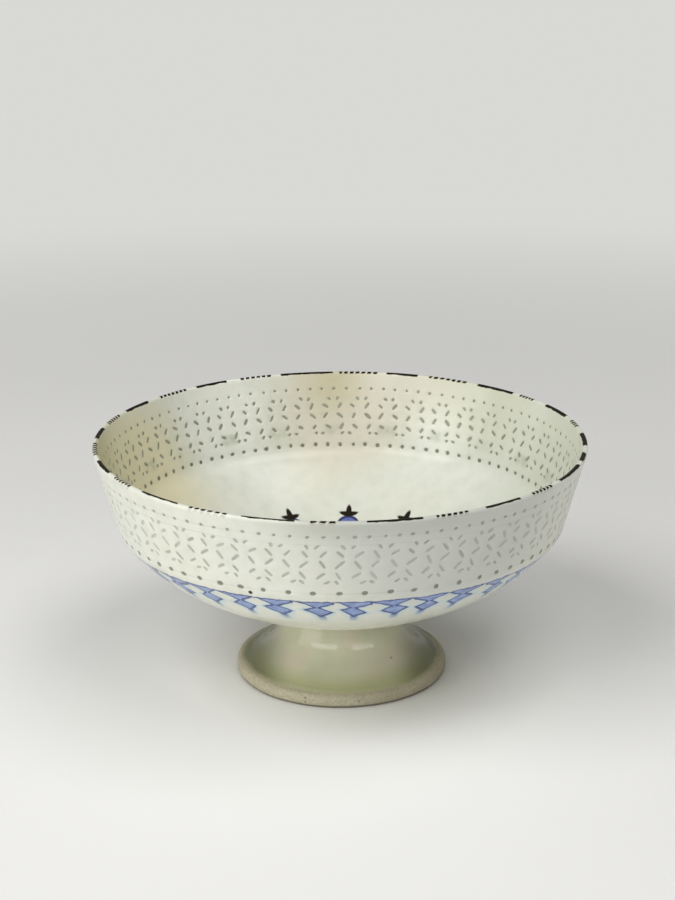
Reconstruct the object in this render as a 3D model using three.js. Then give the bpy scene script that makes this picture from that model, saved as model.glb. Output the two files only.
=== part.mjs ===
// A footed bowl of white fritware, about 200 mm across, with a steep flaring wall and a hollow pedestal.
// Millimetres, +Z up. The origin is the centre of the foot's standing ring, on the table.
import * as THREE from "three";
import { mergeVertices } from "three/addons/utils/BufferGeometryUtils.js";

// Driving dimensions of the bowl. Heights are above the table.
const RIM_RADIUS = 100;
const RIM_HEIGHT = 101;
const LIP_THICKNESS = 2.1;
const LIP_BASE_THICKNESS = 2.5;
const LIP_DEPTH = 1.6;
const SHOULDER_RADIUS = 91.7;
const SHOULDER_HEIGHT = 68.2;
const SHOULDER_CORNER = [90.8, 65.3];
const UNDERSIDE_TOP = [88.2, 63.2];
const UNDERSIDE_HANDLES = [56, 38.2, 72.6, 44.8];
const SEAT_RADIUS = 24;
const SEAT_HEIGHT = 27.8;
const WALL_THICKNESS = 3.6;
const INNER_CORNER = [86.5, 65.2];
const FLOOR_EDGE = [83.2, 63.5];
const FLOOR_HANDLE = [67, 51.3];
const FLOOR_FLAT = 48;
const FLOOR_THICKNESS = 4.8;

// Driving dimensions of the pedestal.
const FOOT_RADIUS = 44;
const FOOT_EDGE_HEIGHT = 5.4;
const FOOT_EDGE_ROUNDING = 1.4;
const FLANGE_RADIUS = 41;
const FLARE_HANDLES = [32.1, 7.3, 26.8, 14];
const NECK_RADIUS = 22.4;
const NECK_BORE_RADIUS = 17.6;
const STANDING_RING_WIDTH = 4.4;
const HOLLOW_EDGE = [36.6, 1.6];
const HOLLOW_HANDLES = [20.7, 15.4, 25.9, 10.5];

// The slip that luted the two pieces together before firing, and the clearance on each of its faces.
const SLIP_THICKNESS = 0.8;
const SLIP_BEAD = 0.5;
const JOINT_GAP = 0.05;

// Flat sides of each turned piece, multiples of four so that its widest points lie on X and Y.
const BOWL_SIDES = 96;
const FOOT_SIDES = 64;
const CURVE_STEPS = 7;
const WELD_TOLERANCE = 1e-4;

// Materials, with the colours of the fired pieces.
const whiteGlaze = new THREE.MeshStandardMaterial({ color: 0xdfe0d3, roughness: 0.25, metalness: 0 });
const greenGlaze = new THREE.MeshStandardMaterial({ color: 0xa9a98d, roughness: 0.22, metalness: 0 });
const firedSlip = new THREE.MeshStandardMaterial({ color: 0xcfc8b4, roughness: 0.8, metalness: 0 });

// Turns a profile, whose x is the radius and y the height, about the vertical axis, and names the piece.
function turnedPiece(name, profile, sides, material) {
  const turned = new THREE.LatheGeometry(profile.getPoints(CURVE_STEPS), sides);
  turned.rotateX(Math.PI / 2);
  turned.deleteAttribute("normal");
  turned.deleteAttribute("uv");
  const mesh = new THREE.Mesh(mergeVertices(turned, WELD_TOLERANCE), material);
  mesh.name = name;
  return mesh;
}

// The bowl: from the flat seat under its middle, up the outside, over the lip and down the inside.
function makeBowl() {
  const lipBottom = RIM_HEIGHT - LIP_DEPTH;
  const lipInside = RIM_RADIUS - LIP_THICKNESS;
  const lipMiddle = RIM_RADIUS - LIP_THICKNESS / 2;
  const lipBaseInside = RIM_RADIUS - LIP_BASE_THICKNESS;
  const floorHeight = SEAT_HEIGHT + FLOOR_THICKNESS;
  const profile = new THREE.Path();
  profile.moveTo(0, SEAT_HEIGHT);
  profile.lineTo(SEAT_RADIUS, SEAT_HEIGHT);
  profile.bezierCurveTo(...UNDERSIDE_HANDLES, ...UNDERSIDE_TOP);
  profile.quadraticCurveTo(...SHOULDER_CORNER, SHOULDER_RADIUS, SHOULDER_HEIGHT);
  profile.lineTo(RIM_RADIUS, lipBottom);
  profile.quadraticCurveTo(RIM_RADIUS, RIM_HEIGHT, lipMiddle, RIM_HEIGHT);
  profile.quadraticCurveTo(lipInside, RIM_HEIGHT, lipBaseInside, lipBottom);
  profile.lineTo(SHOULDER_RADIUS - WALL_THICKNESS, SHOULDER_HEIGHT);
  profile.quadraticCurveTo(...INNER_CORNER, ...FLOOR_EDGE);
  profile.bezierCurveTo(...FLOOR_HANDLE, FLOOR_FLAT, floorHeight, 0, floorHeight);
  return turnedPiece("bowl_body", profile, BOWL_SIDES, whiteGlaze);
}

// The pedestal: from the standing ring, round the flange's edge, up to the neck and down the hollow.
function makeFoot() {
  const ringOuter = FOOT_RADIUS - FOOT_EDGE_ROUNDING;
  const ringInner = ringOuter - STANDING_RING_WIDTH;
  const neckTop = SEAT_HEIGHT - SLIP_THICKNESS - 2 * JOINT_GAP;
  const profile = new THREE.Path();
  profile.moveTo(ringInner, 0);
  profile.lineTo(ringOuter, 0);
  profile.quadraticCurveTo(FOOT_RADIUS, 0, FOOT_RADIUS, FOOT_EDGE_HEIGHT / 2);
  profile.quadraticCurveTo(FOOT_RADIUS, FOOT_EDGE_HEIGHT, FLANGE_RADIUS, FOOT_EDGE_HEIGHT);
  profile.bezierCurveTo(...FLARE_HANDLES, NECK_RADIUS, neckTop);
  profile.lineTo(NECK_BORE_RADIUS, neckTop);
  profile.bezierCurveTo(...HOLLOW_HANDLES, ...HOLLOW_EDGE);
  profile.lineTo(ringInner, 0);
  return turnedPiece("foot_body", profile, FOOT_SIDES, greenGlaze);
}

// The luting slip: a thin ring between the neck and the bowl's seat, squeezed out a little all round.
function makeSlip() {
  const top = SEAT_HEIGHT - JOINT_GAP;
  const bottom = top - SLIP_THICKNESS;
  const beadRadius = NECK_RADIUS + SLIP_BEAD;
  const profile = new THREE.Path();
  profile.moveTo(NECK_BORE_RADIUS, bottom);
  profile.lineTo(NECK_RADIUS, bottom);
  profile.quadraticCurveTo(beadRadius, (bottom + top) / 2, NECK_RADIUS, top);
  profile.lineTo(NECK_BORE_RADIUS, top);
  profile.lineTo(NECK_BORE_RADIUS, bottom);
  return turnedPiece("luting_slip", profile, FOOT_SIDES, firedSlip);
}

const footedBowl = new THREE.Group();
footedBowl.add(makeBowl(), makeFoot(), makeSlip());

export default footedBowl;
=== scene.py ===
# %% [markdown]
# # A footed bowl of pierced white fritware
# The bowl is about 200 mm across. A steep wall, cut through with rows of dots and slits, stands
# on a shallow rounded body, and that sits on a small hollow pedestal. Clear glaze fills the cuts,
# so that light comes through them. This script dresses the bowl's construction model: it loads
# the model, makes finer surfaces over its turned solids, and gives each surface its glaze.

# %% Load the construction model
import math
from functools import partial
import bpy
import numpy as np
from mathutils import Matrix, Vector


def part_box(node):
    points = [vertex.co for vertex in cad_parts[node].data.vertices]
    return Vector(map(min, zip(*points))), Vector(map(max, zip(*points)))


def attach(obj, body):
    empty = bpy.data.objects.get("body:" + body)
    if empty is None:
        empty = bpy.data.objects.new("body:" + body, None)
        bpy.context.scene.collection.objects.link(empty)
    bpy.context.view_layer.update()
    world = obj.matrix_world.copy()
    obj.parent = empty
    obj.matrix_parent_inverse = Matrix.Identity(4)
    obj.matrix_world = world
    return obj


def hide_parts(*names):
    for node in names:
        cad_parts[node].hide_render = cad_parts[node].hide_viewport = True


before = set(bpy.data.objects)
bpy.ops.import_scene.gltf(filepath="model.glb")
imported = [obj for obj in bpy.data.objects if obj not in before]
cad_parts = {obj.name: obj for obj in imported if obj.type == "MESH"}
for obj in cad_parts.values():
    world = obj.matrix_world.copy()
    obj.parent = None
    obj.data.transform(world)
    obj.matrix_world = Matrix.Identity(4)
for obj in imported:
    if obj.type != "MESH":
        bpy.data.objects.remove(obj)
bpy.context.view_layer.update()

# %% [markdown]
# ## Sizes
# Potters measure in millimetres, so the script does too, and turns to metres only where it hands
# points to Blender. The outer sizes come from the construction model. The curves between them
# are the potter's own profile: a point where each curve starts and ends, and the handles that
# bend it, each as a radius and a height above the table.

# %% Sizes from the construction model, and the profile between them
MM = 0.001
bowl_low, bowl_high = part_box("bowl_body")
_, foot_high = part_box("foot_body")
RIM_RADIUS = round(bowl_high.x / MM, 2)
RIM_HEIGHT = round(bowl_high.z / MM, 2)
SEAT_HEIGHT = round(bowl_low.z / MM, 2)
FOOT_RADIUS = round(foot_high.x / MM, 2)
NECK_TOP = round(foot_high.z / MM, 2)

LIP_THICKNESS, LIP_BASE_THICKNESS, LIP_DEPTH = 2.1, 2.5, 1.6
SHOULDER, SHOULDER_CORNER, UNDERSIDE_TOP = (91.7, 68.2), (90.8, 65.3), (88.2, 63.2)
UNDERSIDE_HANDLES = (72.6, 44.8), (56, 38.2)
SEAT_RADIUS, WALL_THICKNESS, FLOOR_THICKNESS = 24, 3.6, 4.8
INNER_CORNER, FLOOR_EDGE, FLOOR_HANDLE, FLOOR_FLAT = (86.5, 65.2), (83.2, 63.5), (67, 51.3), 48
print(f"rim radius {RIM_RADIUS}, rim height {RIM_HEIGHT}, foot radius {FOOT_RADIUS} mm")

# %% [markdown]
# ## The camera
# The photograph looks down on the bowl by about 18 degrees, from about 0.7 m. The ellipse of the
# rim, how much wider its front half is than its back half, and the outline of the pedestal fix
# the lens and the distance. The camera is tilted by a third of a degree, and the bowl stands a
# little to the right of the middle, which a small shift of the lens repeats.

# %% Place the camera
CAMERA_DISTANCE, CAMERA_HEIGHT = 698, 318
LENS_MM, PITCH_DOWN, ROLL = 72, 17.74, -0.33
AXIS_OFFSET_PX, LONG_SIDE_PX = 2.6, 900

camera_data = bpy.data.cameras.new("camera")
camera_data.lens = LENS_MM
camera_data.shift_x = -AXIS_OFFSET_PX / LONG_SIDE_PX
camera = bpy.data.objects.new("camera", camera_data)
camera.matrix_world = (
    Matrix.Translation((0, -CAMERA_DISTANCE * MM, CAMERA_HEIGHT * MM))
    @ Matrix.Rotation(math.radians(90 - PITCH_DOWN), 4, "X")
    @ Matrix.Rotation(math.radians(ROLL), 4, "Z")
)
bpy.context.scene.collection.objects.link(camera)
bpy.context.scene.camera = camera
print(f"camera {LENS_MM} mm, {PITCH_DOWN} degrees down")

# %% [markdown]
# ## Curves
# A thrown pot is a curve turned round an axis. Bezier curves suit a thrown profile, because a
# potter's rib leaves long even sweeps. They could be drawn as Blender curve objects, but as
# numpy arrays they can also say how far down the wall any point lies, which the cuts and the
# painting need.

# %% The profile of the bowl, outside and inside
def bezier(*controls, steps=60):
    """Points on a Bezier curve: each control point weighted by its Bernstein polynomial."""
    t = np.linspace(0, 1, steps)[:, None]
    order = len(controls) - 1
    weights = [math.comb(order, i) * (1 - t) ** (order - i) * t**i for i in range(order + 1)]
    return sum(weight * np.array(point, float) for weight, point in zip(weights, controls))


def join(*curves):
    """One curve from several that meet end to end, with each meeting point kept once."""
    return np.concatenate([curves[0]] + [np.array(curve, float)[1:] for curve in curves[1:]])


lip_base = RIM_HEIGHT - LIP_DEPTH
crown = (RIM_RADIUS - LIP_THICKNESS / 2, RIM_HEIGHT)
inner_shoulder = (SHOULDER[0] - WALL_THICKNESS, SHOULDER[1])
floor_height = SEAT_HEIGHT + FLOOR_THICKNESS
outer_curve = join(
    bezier(crown, (RIM_RADIUS, RIM_HEIGHT), (RIM_RADIUS, lip_base)),
    bezier((RIM_RADIUS, lip_base), SHOULDER),
    bezier(SHOULDER, SHOULDER_CORNER, UNDERSIDE_TOP),
    bezier(UNDERSIDE_TOP, *UNDERSIDE_HANDLES, (SEAT_RADIUS, SEAT_HEIGHT)),
    bezier((SEAT_RADIUS, SEAT_HEIGHT), (0, SEAT_HEIGHT)),
)
inner_curve = join(
    bezier(crown, (RIM_RADIUS - LIP_THICKNESS, RIM_HEIGHT), (RIM_RADIUS - LIP_BASE_THICKNESS, lip_base)),
    bezier((RIM_RADIUS - LIP_BASE_THICKNESS, lip_base), inner_shoulder),
    bezier(inner_shoulder, INNER_CORNER, FLOOR_EDGE),
    bezier(FLOOR_EDGE, FLOOR_HANDLE, (FLOOR_FLAT, floor_height), (0, floor_height)),
)
print("profile points:", len(outer_curve), "outside,", len(inner_curve), "inside")

# %% [markdown]
# ## Measuring down the wall
# Everything on the bowl is placed by two numbers: how far round it lies, and how far down from
# the rim. On the wall, down is the plain drop below the rim, so that a cut has the same number
# on both faces. Past the shoulder it goes on as the length along the curve, so that a painted
# pendant keeps its true length where the body turns under.

# %% How far down each profile point lies
SHOULDER_DROP = 36.0


def length_along(curve):
    """The length of the curve from its start to each of its points: the sum of the steps between them."""
    return np.concatenate([[0], np.cumsum(np.hypot(*np.diff(curve, axis=0).T))])


def mark_down(curve):
    """The drop below the rim as far as the shoulder, and from there the length along the curve."""
    drop, length = RIM_HEIGHT - curve[:, 1], length_along(curve)
    past = np.argmax(drop >= SHOULDER_DROP)
    return np.where(np.arange(len(curve)) < past, drop, drop[past] + length - length[past])


def profile_table(curve, into_clay):
    """For each profile point: down, radius, height, and the two parts of the direction into the clay."""
    tangent = np.gradient(curve, axis=0)
    tangent /= np.hypot(*tangent.T)[:, None]
    return mark_down(curve), *curve.T, into_clay * tangent[:, 1], -into_clay * tangent[:, 0]


outer_table = profile_table(outer_curve, 1)
inner_table = profile_table(inner_curve, -1)
seat = np.argmin(np.hypot(*(outer_curve - (SEAT_RADIUS, SEAT_HEIGHT)).T))
SEAT_DOWN = float(outer_table[0][seat])
OUTER_END, INNER_END = float(outer_table[0][-1]), float(inner_table[0][-1])
print(f"down to the seat {SEAT_DOWN:.1f}, to the middle {OUTER_END:.1f} and {INNER_END:.1f} mm")

# %% [markdown]
# ## A skin of corners
# The wall is pierced by several hundred cuts. Cutting them with boolean modifiers is slow and
# leaves ragged faces, so the skin is worked out with the holes already in it. Each face is
# written down by its corners, and each corner by four numbers: its column round the bowl, how
# far down it is, which side of the wall it is on, and how deep it is sunk in the clay. Corners
# with the same four numbers are the same point, so the faces weld by themselves. The lip sagged a
# little in the kiln on the side that faces the camera, so it gets up to 1.5 mm lower there.

# %% From corners to points in space
COLUMNS, COARSE, FIRST_DEGREES = 552, 3, -1.96
FIRST_ANGLE = math.radians(FIRST_DEGREES)
OUTSIDE, INSIDE = 0.0, 1.0
LOPSIDED, UNEVEN_RIM = 0.22, 0.3
SAG_DEGREES, SAG_MM = (-75, -50, -35, 0, 35, 62, 80, 105), (0, 0.6, 0.93, 1.06, 1.2, 1.5, 1.0, 0)


def wave(angle, *parts):
    """A sum of sine waves round the axis, each given as its amplitude, count and start."""
    return sum(amplitude * np.sin(count * angle + start) for amplitude, count, start in parts)


def thrown(radius, height, angle):
    """What wheel and kiln leave: waves round the wall and the rim, and a sag that is looked up by angle."""
    rise = np.clip((height - SHOULDER[1]) / (RIM_HEIGHT - SHOULDER[1]), 0, 1)
    inward = LOPSIDED * (0.5 + wave(angle, (0.35, 2, 0.6), (0.15, 5, 2)))
    dip = UNEVEN_RIM * (0.5 + wave(angle, (0.3, 3, 1), (0.2, 7, 4)))
    sag = np.interp((np.degrees(angle) + 180) % 360 - 180, SAG_DEGREES, SAG_MM)
    return radius - inward * rise, height - dip * rise**2 - sag * rise**8


def place(corners):
    """Columns become angles, and downs become points of one of the profiles, moved into the clay by sink."""
    column, down, side, sink = corners.T
    outer, inner = (np.array([np.interp(down, table[0], row) for row in table[1:]])
                    for table in (outer_table, inner_table))
    radius, height, into_r, into_z = np.where(side == OUTSIDE, outer, inner)
    angle = FIRST_ANGLE + column * 2 * np.pi / COLUMNS
    radius, height = thrown(radius + sink * into_r, height + sink * into_z, angle)
    return np.stack([radius * np.sin(angle), -radius * np.cos(angle), height], axis=1)


def weld(face_groups):
    """Gives every different corner one number, and every face the numbers of its corners."""
    corners = np.concatenate([group.reshape(-1, 4) for group in face_groups])
    corners[:, 0] %= COLUMNS
    corners[:, 2] *= corners[:, 1] > 0
    unique, numbers = np.unique(np.round(corners, 6), axis=0, return_inverse=True)
    ends = np.cumsum([group.shape[0] * group.shape[1] for group in face_groups])[:-1]
    parts = np.split(numbers.ravel(), ends)
    faces = [part.reshape(group.shape[:2]) for part, group in zip(parts, face_groups)]
    return unique, [face for group in faces for face in group.tolist()]


print("one column is", round(2 * math.pi * RIM_RADIUS / COLUMNS, 2), "mm wide at the rim")

# %% [markdown]
# ## Plain bands of the skin
# Between the rows of cuts the skin is a plain grid of rings. Two rings make a band of four-sided
# faces. Under the shoulder the pattern of cuts has ended, so every third column is enough: a row
# of six-sided faces takes the skin from the fine rings to the coarse ones.

# %% Bands, the change to coarse columns, and the closed middle
def ring(down, side, step=1):
    """One ring of corners, all at the same distance down and not sunk."""
    column = np.arange(0, COLUMNS + 1, step, dtype=float)
    return np.stack([column, *(np.full_like(column, value) for value in (down, side, 0))], axis=1)


def between(upper, lower):
    """Four-sided faces between two rows of corners, turned to face away from the outside's clay."""
    first, second = upper[..., :-1, :], lower[..., :-1, :]
    second_next, first_next = lower[..., 1:, :], upper[..., 1:, :]
    return np.stack([first, second, second_next, first_next], axis=-2).reshape(-1, 4, 4)


def turned_for(side, faces):
    """The inside faces the other way, so its corners run the other way round."""
    return faces if side == OUTSIDE else faces[:, ::-1]


def bands(stations, side, step=1):
    """A grid of bands through a list of stations, each a distance down."""
    rings = [ring(down, side, step) for down in stations]
    return [turned_for(side, between(a, b)) for a, b in zip(rings, rings[1:])]


def widen(fine_down, coarse_down, side):
    """Six-sided faces: two corners of a coarse column below, and the four fine corners above them."""
    fine, coarse = ring(fine_down, side), ring(coarse_down, side, COARSE)
    above = [fine[COARSE - k:: COARSE][: len(coarse) - 1] for k in range(COARSE + 1)]
    return turned_for(side, np.stack([coarse[:-1], coarse[1:], *above], axis=1))


def close_middle(last_down, end_down, side):
    """A fan of three-sided faces from the last ring to the middle."""
    rim = ring(last_down, side, COARSE)
    middle = np.tile([0, end_down, side, 0.0], (len(rim) - 1, 1))
    return turned_for(side, np.stack([rim[:-1], middle, rim[1:]], axis=1))


print("faces round one band:", COLUMNS, "where it is fine,", COLUMNS // COARSE, "where it is coarse")

# %% [markdown]
# ## Where the cuts are
# The cutter worked in rows between faint guide lines. At the top is a row of small dots, at the
# bottom one of larger dots. Between them five rows of slits make diamonds and crosses: 46
# diamonds round the bowl, each half of one the mirror image of the other, but for the hand's
# lean of nine degrees to the right. Every cut was made by hand, so each gets a little of its own
# length, width, tilt and place, from a generator with a fixed seed. A knife pushed through wet
# clay makes a long thin cut where it goes in and a short wide one where it comes out, so a cut's
# blunt ellipse has its own shares of length and width inside the wall.

# %% Rows of cells, each with one cut
DIAMONDS, DOTS_ABOVE, DOTS_BELOW = 46, 108, 88
EDGE_WIDTH, CUT_SINK, SLIT_BLUNT = 0.5, 0.1, 0.65
SLIT_INSIDE, DOT_INSIDE, SLIT_LEAN = (0.74, 1.25), (0.78, 0.88), 9
HAND_SEED, HAND_LIMIT = 45, 1.7
HAND_COLUMN, HAND_DOWN, HAND_LENGTH, HAND_WIDTH, HAND_TILT = 0.13, 0.1, 0.11, 0.12, 6
SLOW_DRIFT, WALL_RADIUS = 0.35, 96
cutter = np.random.default_rng(HAND_SEED)
cells = []


def row_of_cuts(edges, top, bottom, centres, down, half_length, half_width, tilt, inside_share, blunt):
    """Keeps a row of cells: its columns, its height and one hand-cut hole in each cell."""
    wander = cutter.normal(0, 1, (5, len(edges) - 1)).clip(-HAND_LIMIT, HAND_LIMIT)
    cells.append({
        "edges": edges, "top": top, "bottom": bottom, "inside_share": inside_share, "blunt": blunt,
        "column": centres + HAND_COLUMN * wander[0],
        "down": down + HAND_DOWN * wander[1],
        "half_length": half_length * (1 + HAND_LENGTH * wander[2]),
        "half_width": half_width * (1 + HAND_WIDTH * wander[3]),
        "tilt": np.radians(tilt + HAND_TILT * wander[4]),
    })


columns_per_half = COLUMNS // (2 * DIAMONDS)
half_edges = np.arange(0, COLUMNS + 1, columns_per_half)
mirror = np.where(np.arange(2 * DIAMONDS) % 2, -1, 1)
diamond_middles = half_edges[:-1] + np.where(mirror > 0, 0, columns_per_half)
mm_per_column = 2 * math.pi * WALL_RADIUS / COLUMNS
slit_rows = [
    # top, bottom, down, offset from the diamond's middle, shift to the right, half length, half width, tilt
    (10.4, 12.95, 11.65, 4.75, 0.0, 1.0, 0.4, -50),
    (12.95, 17.0, 14.9, 3.1, 0.0, 1.7, 0.43, -45),
    (17.0, 21.6, 19.2, 3.2, -0.2, 1.9, 0.44, 45),
    (21.6, 25.8, 24.0, 3.2, -0.5, 1.65, 0.44, -42),
    (25.8, 27.9, 26.8, 1.7, -0.2, 1.0, 0.4, -42),
]
for top, bottom, down, offset, shift, *half_sizes, tilt in slit_rows:
    slow = SLOW_DRIFT * np.sin(half_edges[:-1] * 2 * np.pi / COLUMNS * 2 + down)
    centres = diamond_middles + (mirror * offset + shift + slow) / mm_per_column
    tilts = mirror * tilt - SLIT_LEAN
    row_of_cuts(half_edges, top, bottom, centres, down, *half_sizes, tilts, SLIT_INSIDE, SLIT_BLUNT)
print("slits:", sum(len(row["column"]) for row in cells))

# %% [markdown]
# The dots aren't evenly spaced. The upper ones stand 3.4 degrees apart on the left of the front
# and 3.2 on its right. The lower ones stand 5.8 degrees apart at the front, 4.5 at its sides and
# 3.7 round the back. Adding up one dot for every such step gives how many dots there are up to
# each column, and reading that the other way gives the column where each dot's cell starts.

# %% The dots
TOP_DOTS, LOW_DOTS = (5.8, 7.3, 8.7), (30.4, 31.8, 33.2)


def dot_edges(count, angles, steps, start):
    """Columns where the cells of a row of dots start, from the step between dots at some angles."""
    columns = np.arange(COLUMNS + 1)
    angle = ((columns + start) * 360 / COLUMNS + FIRST_DEGREES + 180) % 360 - 180
    so_far = np.concatenate([[0], np.cumsum(1 / np.interp(angle, angles, steps)[:-1])])
    return start + np.round(np.interp(np.arange(count + 1) / count, so_far / so_far[-1], columns)).astype(int)


dot_rows = [
    # dots, angles and the step at each, first column; top, down and bottom; half length, half width
    (DOTS_ABOVE, (-46, -44, -4, -2, 42, 44), (3.33, 3.42, 3.42, 3.17, 3.17, 3.33), 0,
     TOP_DOTS, (0.62, 0.56)),
    (DOTS_BELOW, (-64, -58, -38, -34, 34, 38, 58, 64), (3.7, 4.5, 4.5, 5.8, 5.8, 4.5, 4.5, 3.7), -2,
     LOW_DOTS, (1.1, 0.86)),
]
for *spacing, (top, middle, bottom), half_sizes in dot_rows:
    edges = dot_edges(*spacing)
    row_of_cuts(edges, top, bottom, (edges[:-1] + edges[1:]) / 2, middle, *half_sizes, 0.0, DOT_INSIDE, 1.0)
print("cuts in the wall:", sum(len(row["column"]) for row in cells))

# %% [markdown]
# ## Faces round a cut
# A cell is a patch of wall, one row high and a few columns wide, with one hole. Six loops of
# corners carry the skin through it: the cell's own border, a ring just outside the cut, the
# cut's edge, the same edge on the inside of the wall, and the same two again. Each loop has the
# same number of corners, and a corner of the hole looks the same way as its corner of the border,
# so no face is twisted. Nothing of a cut comes nearer to its border than a tenth of a millimetre.

# %% Loops of a cell, and the faces between them
CELL_MARGIN = 0.1


def cells_by_width(row):
    """For each width of cell: which cells have it, and their borders, clockwise from the top left, with a
    corner half way up each side."""
    top, bottom, widths = row["top"], row["bottom"], np.diff(row["edges"])
    for width in np.unique(widths):
        left = row["edges"][:-1][widths == width][:, None]
        across, middle = np.arange(width + 1), (top + bottom) / 2
        column = np.concatenate([left + across, left + width, left + width - across, left], axis=1)
        down = np.concatenate([np.full(width + 1, top), [middle], np.full(width + 1, bottom), [middle]])
        yield widths == width, (column.astype(float), np.broadcast_to(down, column.shape))


def squared(share, blunt):
    """A sine's or cosine's size to a power, with its sign kept: a power below one squares off the ends."""
    return np.sign(share) * np.abs(share) ** blunt


def outline(row, picked, border, grow, side):
    """A blunt ellipse round each cut's middle, grown by a rim, its corners facing those of the border."""
    centre, down, tilt, half_length, half_width = (
        row[name][picked, None] for name in ("column", "down", "tilt", "half_length", "half_width"))
    long_share, wide_share = (1, 1) if side == OUTSIDE else row["inside_share"]
    bearing = np.arctan2(down - border[1], (border[0] - centre) * mm_per_column) - tilt
    along = (half_length * long_share + grow) * squared(np.cos(bearing), row["blunt"])
    across = (half_width * wide_share + grow) * squared(np.sin(bearing), row["blunt"])
    column = centre + (along * np.cos(tilt) - across * np.sin(tilt)) / mm_per_column
    down = down - (along * np.sin(tilt) + across * np.cos(tilt))
    margin = CELL_MARGIN / mm_per_column
    column = column.clip(border[0].min(axis=1)[:, None] + margin, border[0].max(axis=1)[:, None] - margin)
    return column, down.clip(row["top"] + CELL_MARGIN, row["bottom"] - CELL_MARGIN)


def loop(column_and_down, side, sink):
    """A closed loop of corners: the four numbers of each, with the first repeated at the end."""
    column, down = column_and_down
    corners = np.stack([column, down, np.full_like(column, side), np.full_like(column, sink)], axis=-1)
    return np.concatenate([corners, corners[:, :1]], axis=1)


def pierced(row):
    """All faces of one row of cells, one group for each width of cell."""
    front = (OUTSIDE, EDGE_WIDTH, 0), (OUTSIDE, 0, CUT_SINK)
    back = (INSIDE, 0, CUT_SINK), (INSIDE, EDGE_WIDTH, 0)
    groups = []
    for picked, border in cells_by_width(row):
        loops = [loop(outline(row, picked, border, grow, side), side, sink)
                 for side, grow, sink in (*front, *back)]
        loops = [loop(border, OUTSIDE, 0), *loops, loop(border, INSIDE, 0)]
        groups += [between(a, b) for a, b in zip(loops, loops[1:])]
    return groups


print("rows of cells to pierce:", len(cells))

# %% [markdown]
# ## The bowl
# The stations run down each side from the crown of the lip. They are close together where the
# lip and the shoulder are round. The last ring of one band is the first row of the next cells, so
# the whole skin welds into one closed body. Each point also keeps its distance over the lip from
# the crown, positive outside and negative inside, which the painting of the rim needs.

# %% Build the bowl
def make_piece(name, points_mm, faces, sharp_angle=None):
    """A smooth-shaded mesh object from points in millimetres, at the origin, on the bowl's one body."""
    mesh = bpy.data.meshes.new(name)
    mesh.from_pydata((points_mm * MM).tolist(), [], faces)
    mesh.shade_smooth()
    if sharp_angle is not None:
        mesh.set_sharp_from_angle(angle=math.radians(sharp_angle))
    piece = bpy.data.objects.new(name, mesh)
    bpy.context.scene.collection.objects.link(piece)
    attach(piece, "root")
    return piece


def set_attributes(piece, **numbers):
    """Under each name, one number for every point, which a material can read by that name."""
    for name, values in numbers.items():
        attribute = piece.data.attributes.new(name, "FLOAT", "POINT")
        attribute.data.foreach_set("value", values.astype(np.float32))


lip = (0, 0.02, 0.07, 0.16, 0.29, 0.45, 0.65, 0.9, 1.2, 1.6, 2.3, 3.4, 4.6, TOP_DOTS[0])
plain_bands = [lip, (TOP_DOTS[2], 9.5, slit_rows[0][0]), (slit_rows[-1][1], 29.1, LOW_DOTS[0])]
shoulder = (LOW_DOTS[2], 33.8, 34.4, 35.0, 35.5, 36.0, 36.5, 37.1, 37.8)
coarse_start = 38.8
underside = [*np.linspace(coarse_start, SEAT_DOWN, 30), *np.linspace(SEAT_DOWN, OUTER_END, 6)[1:-1]]
floor = np.linspace(coarse_start, INNER_END, 44)[:-1]

skin = []
for row in cells:
    skin += pierced(row)
for side, under_part, end in ((OUTSIDE, underside, OUTER_END), (INSIDE, floor, INNER_END)):
    for stations in (*plain_bands, shoulder):
        skin += bands(stations, side)
    skin.append(widen(shoulder[-1], coarse_start, side))
    skin += bands(under_part, side, COARSE)
    skin.append(close_middle(under_part[-1], end, side))

corners, faces = weld(skin)
over_lip = np.where(corners[:, 2] == OUTSIDE,
                    np.interp(corners[:, 1], outer_table[0], length_along(outer_curve)),
                    -np.interp(corners[:, 1], inner_table[0], length_along(inner_curve)))
bowl = make_piece("pierced_bowl", place(corners), faces)
set_attributes(bowl, down=corners[:, 1], inside=corners[:, 2], sunk=corners[:, 3], over_lip=over_lip)
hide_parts("bowl_body")
print("pierced bowl:", len(corners), "points,", len(faces), "faces")

# %% [markdown]
# ## Where the painter's strokes lie round the lip
# The painter went round the lip in fourteen repeats: one long dash, a gap, a run of short ticks,
# a gap. No one counts on a wheel, so they are uneven, and as nearly all of them can be seen, each
# is placed by its own angles. The bowl's points then carry how far inside a dash or a run of
# ticks they lie, and how many ticks have gone by, and the paint reads those.

# %% Measure the dashes and the ticks
STROKES = np.array([
    # first and last degree of a dash, first and last degree of the ticks after it, number of ticks
    (5.4, 17.3, 20.2, 27.6, 6), (32.0, 41.8, 45.7, 53.0, 6), (56.8, 69.1, 71.7, 78.4, 1),
    (83.0, 92.1, 97.0, 101.8, 4), (105.4, 116.0, 121.4, 126.7, 5), (129.3, 141.1, 144.6, 155.6, 7),
    (158.8, 167.4, 169.8, 180.1, 7), (181.8, 195.9, 198.5, 207.2, 6), (211.3, 220.6, 224.0, 233.1, 7),
    (237.8, 247.6, 251.3, 258.6, 6), (262.5, 270.9, 274.4, 283.6, 6), (287.8, 297.1, 300.5, 307.6, 6),
    (312.1, 323.3, 326.5, 335.7, 6), (339.0, 350.5, 353.8, 359.0, 3),
])
TICK_HALF = 0.33


def reach(angle, starts, ends):
    """Millimetres inside the nearest stretch: half its length, less how far the angle is from its middle."""
    from_middle = np.abs((angle[:, None] - (starts + ends) / 2 + 180) % 360 - 180)
    return ((ends - starts) / 2 - from_middle).max(axis=1) * math.radians(RIM_RADIUS)


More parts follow.
